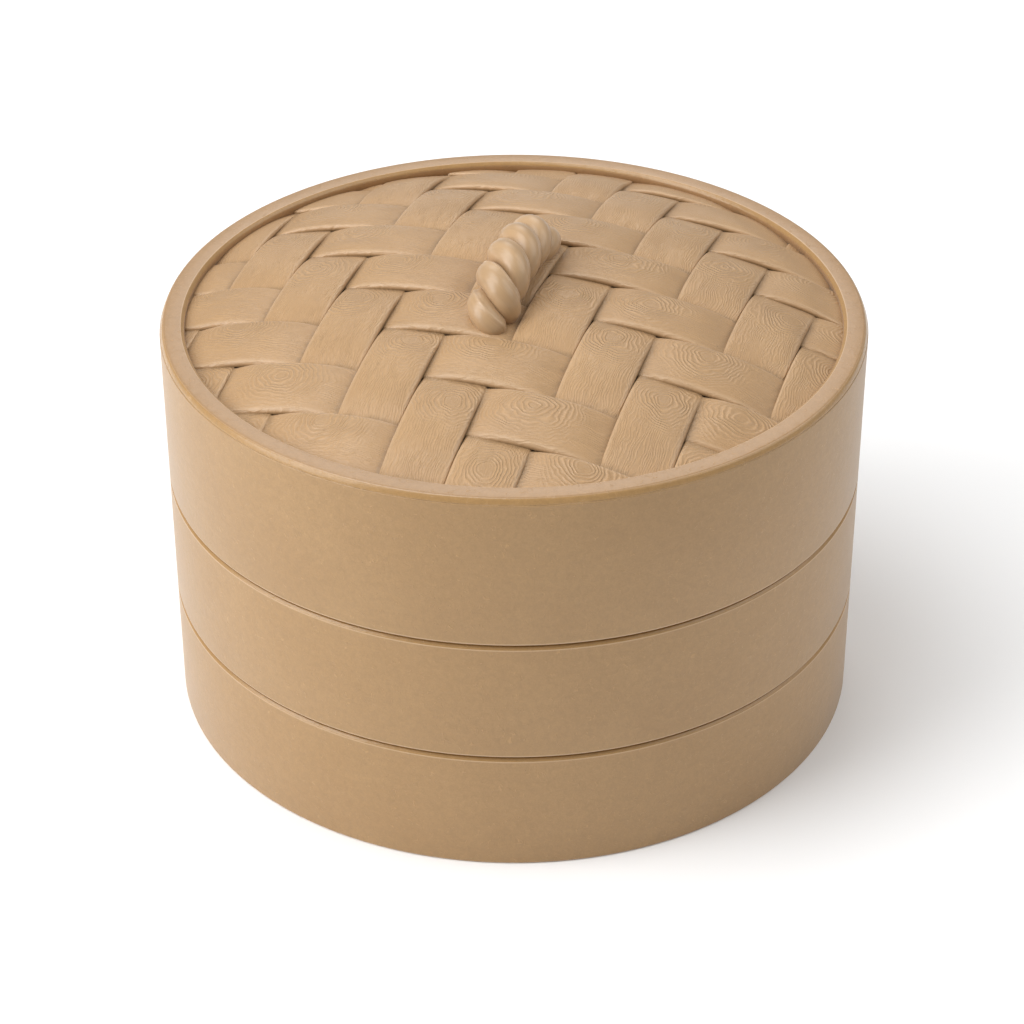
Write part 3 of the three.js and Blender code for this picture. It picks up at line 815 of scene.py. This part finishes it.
def studio_floor():
    bm = bmesh.new()
    bmesh.ops.create_grid(bm, x_segments=1, y_segments=1, size=FLOOR_HALF_WIDTH)
    mesh = bpy.data.meshes.new("studio_floor")
    bm.to_mesh(mesh)
    bm.free()
    finish, surface = new_finish("pale_floor", roughness=0.9, specular=0.1)
    surface.inputs["Base Color"].default_value = FLOOR_TONE
    mesh.materials.append(finish)
    floor = bpy.data.objects.new("studio_floor", mesh)
    bpy.context.collection.objects.link(floor)


def soft_light(name, turn, height, size, watts):
    """A round softbox, turned from the front towards the left and raised, in degrees."""
    turn, height = math.radians(turn), math.radians(height)
    towards = Vector((-math.sin(turn) * math.cos(height), -math.cos(turn) * math.cos(height),
                      math.sin(height)))
    place = LIGHT_AIM + LIGHT_DISTANCE * towards
    lamp = bpy.data.lights.new(name, "AREA")
    lamp.shape = "DISK"
    lamp.size = size
    lamp.energy = watts
    made = bpy.data.objects.new(name, lamp)
    made.location = place
    made.rotation_euler = (LIGHT_AIM - place).to_track_quat("-Z", "Y").to_euler()
    bpy.context.collection.objects.link(made)


def studio():
    scene = bpy.context.scene
    scene.view_settings.view_transform = "Standard"
    world = bpy.data.worlds.new("studio_air")
    scene.world = world
    world.use_nodes = True
    sky = world.node_tree.nodes["Background"]
    sky.inputs["Color"].default_value = (1, 1, 1, 1)
    sky.inputs["Strength"].default_value = AIR_LIGHT
    soft_light("left_window", turn=70, height=27, size=2.0, watts=42)
    soft_light("overhead", turn=85, height=68, size=1.9, watts=34)
    soft_light("right_window", turn=270, height=44, size=2.4, watts=22)
    soft_light("behind", turn=180, height=40, size=1.3, watts=8)


def camera():
    lens = bpy.data.cameras.new("camera")
    lens.sensor_width = FILM_WIDTH_MM
    lens.lens = LENS_MM
    made = bpy.data.objects.new("camera", lens)
    turned = Matrix.Rotation(CAMERA_TILT, 4, "X") @ Matrix.Rotation(CAMERA_ROLL, 4, "Z")
    place = CAMERA_AIM + turned.to_3x3() @ Vector((0, 0, CAMERA_DISTANCE))
    made.matrix_world = Matrix.Translation(place) @ turned
    bpy.context.collection.objects.link(made)
    bpy.context.scene.camera = made


studio_floor()
studio()
camera()
